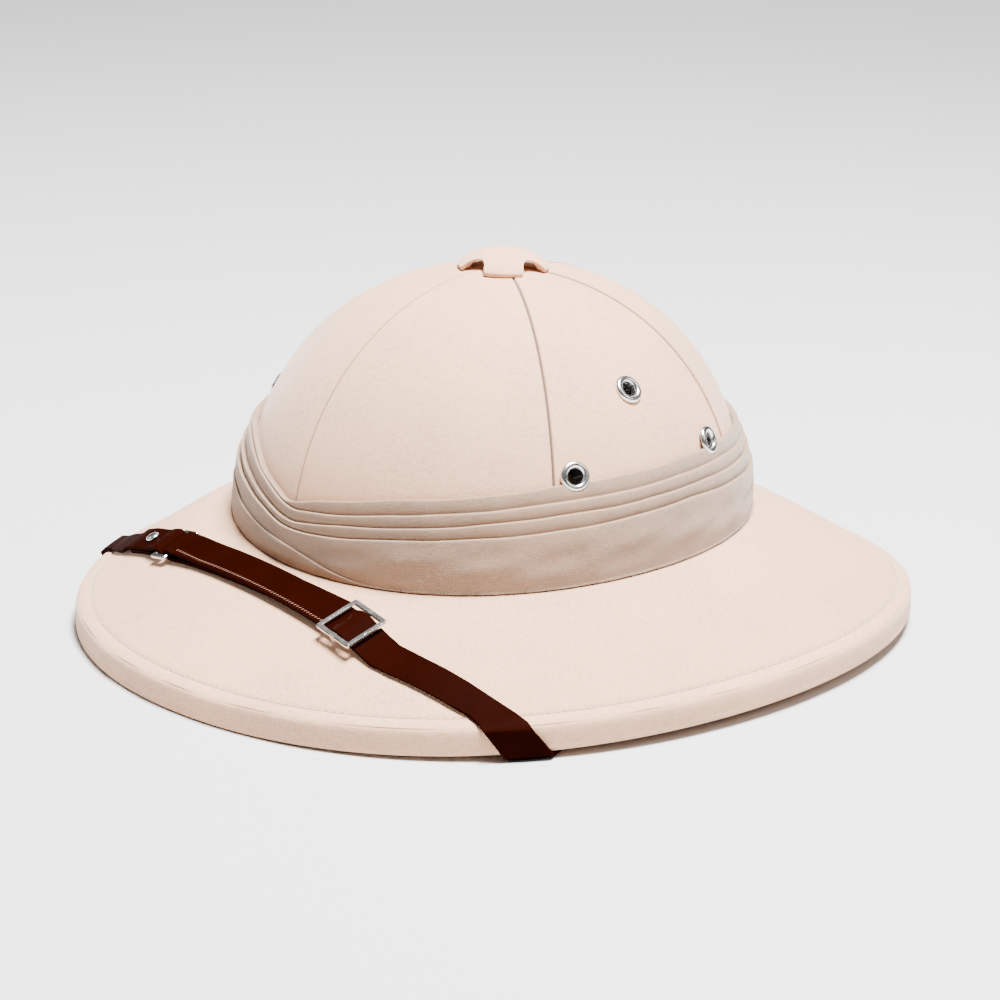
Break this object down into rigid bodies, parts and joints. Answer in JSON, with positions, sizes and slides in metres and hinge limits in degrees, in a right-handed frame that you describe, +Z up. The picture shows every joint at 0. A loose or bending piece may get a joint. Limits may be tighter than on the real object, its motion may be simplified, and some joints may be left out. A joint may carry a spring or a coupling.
{
  "type": "pith helmet",
  "caption": "Cloth covered pith helmet with a pleated band, vented crown button, nickel eyelets and a leather chin strap stowed over the front of the brim.",
  "frame": {"origin": "centre of the hat's box at the level of the brim's front and rear edges, on the surface it rests on", "axes": "+Z up, -Y the front of the hat, +X the wearer's left"},
  "size_m": [0.3048, 0.3448, 0.1494],
  "materials": {
    "cotton_cloth": "matte",
    "pleated_cotton": "matte",
    "brown_leather": "gloss",
    "nickel_plate": "polished"
  },
  "bodies": {
    "root": {"shell": "cotton_cloth", "brim_binding": "cotton_cloth", "vent_button": "cotton_cloth", "pugaree": "pleated_cotton", "strap_long": "brown_leather", "strap_tab": "brown_leather", "vent_post": "nickel_plate", "strap_ring": "nickel_plate", "strap_slider": "nickel_plate", "tab_rivet": "nickel_plate", "stud_left": "nickel_plate", "stud_right": "nickel_plate", "eyelet_left_upper": "nickel_plate", "eyelet_left_front": "nickel_plate", "eyelet_left_rear": "nickel_plate", "eyelet_right_upper": "nickel_plate", "eyelet_right_front": "nickel_plate", "eyelet_right_rear": "nickel_plate"}
  },
  "joints": []
}
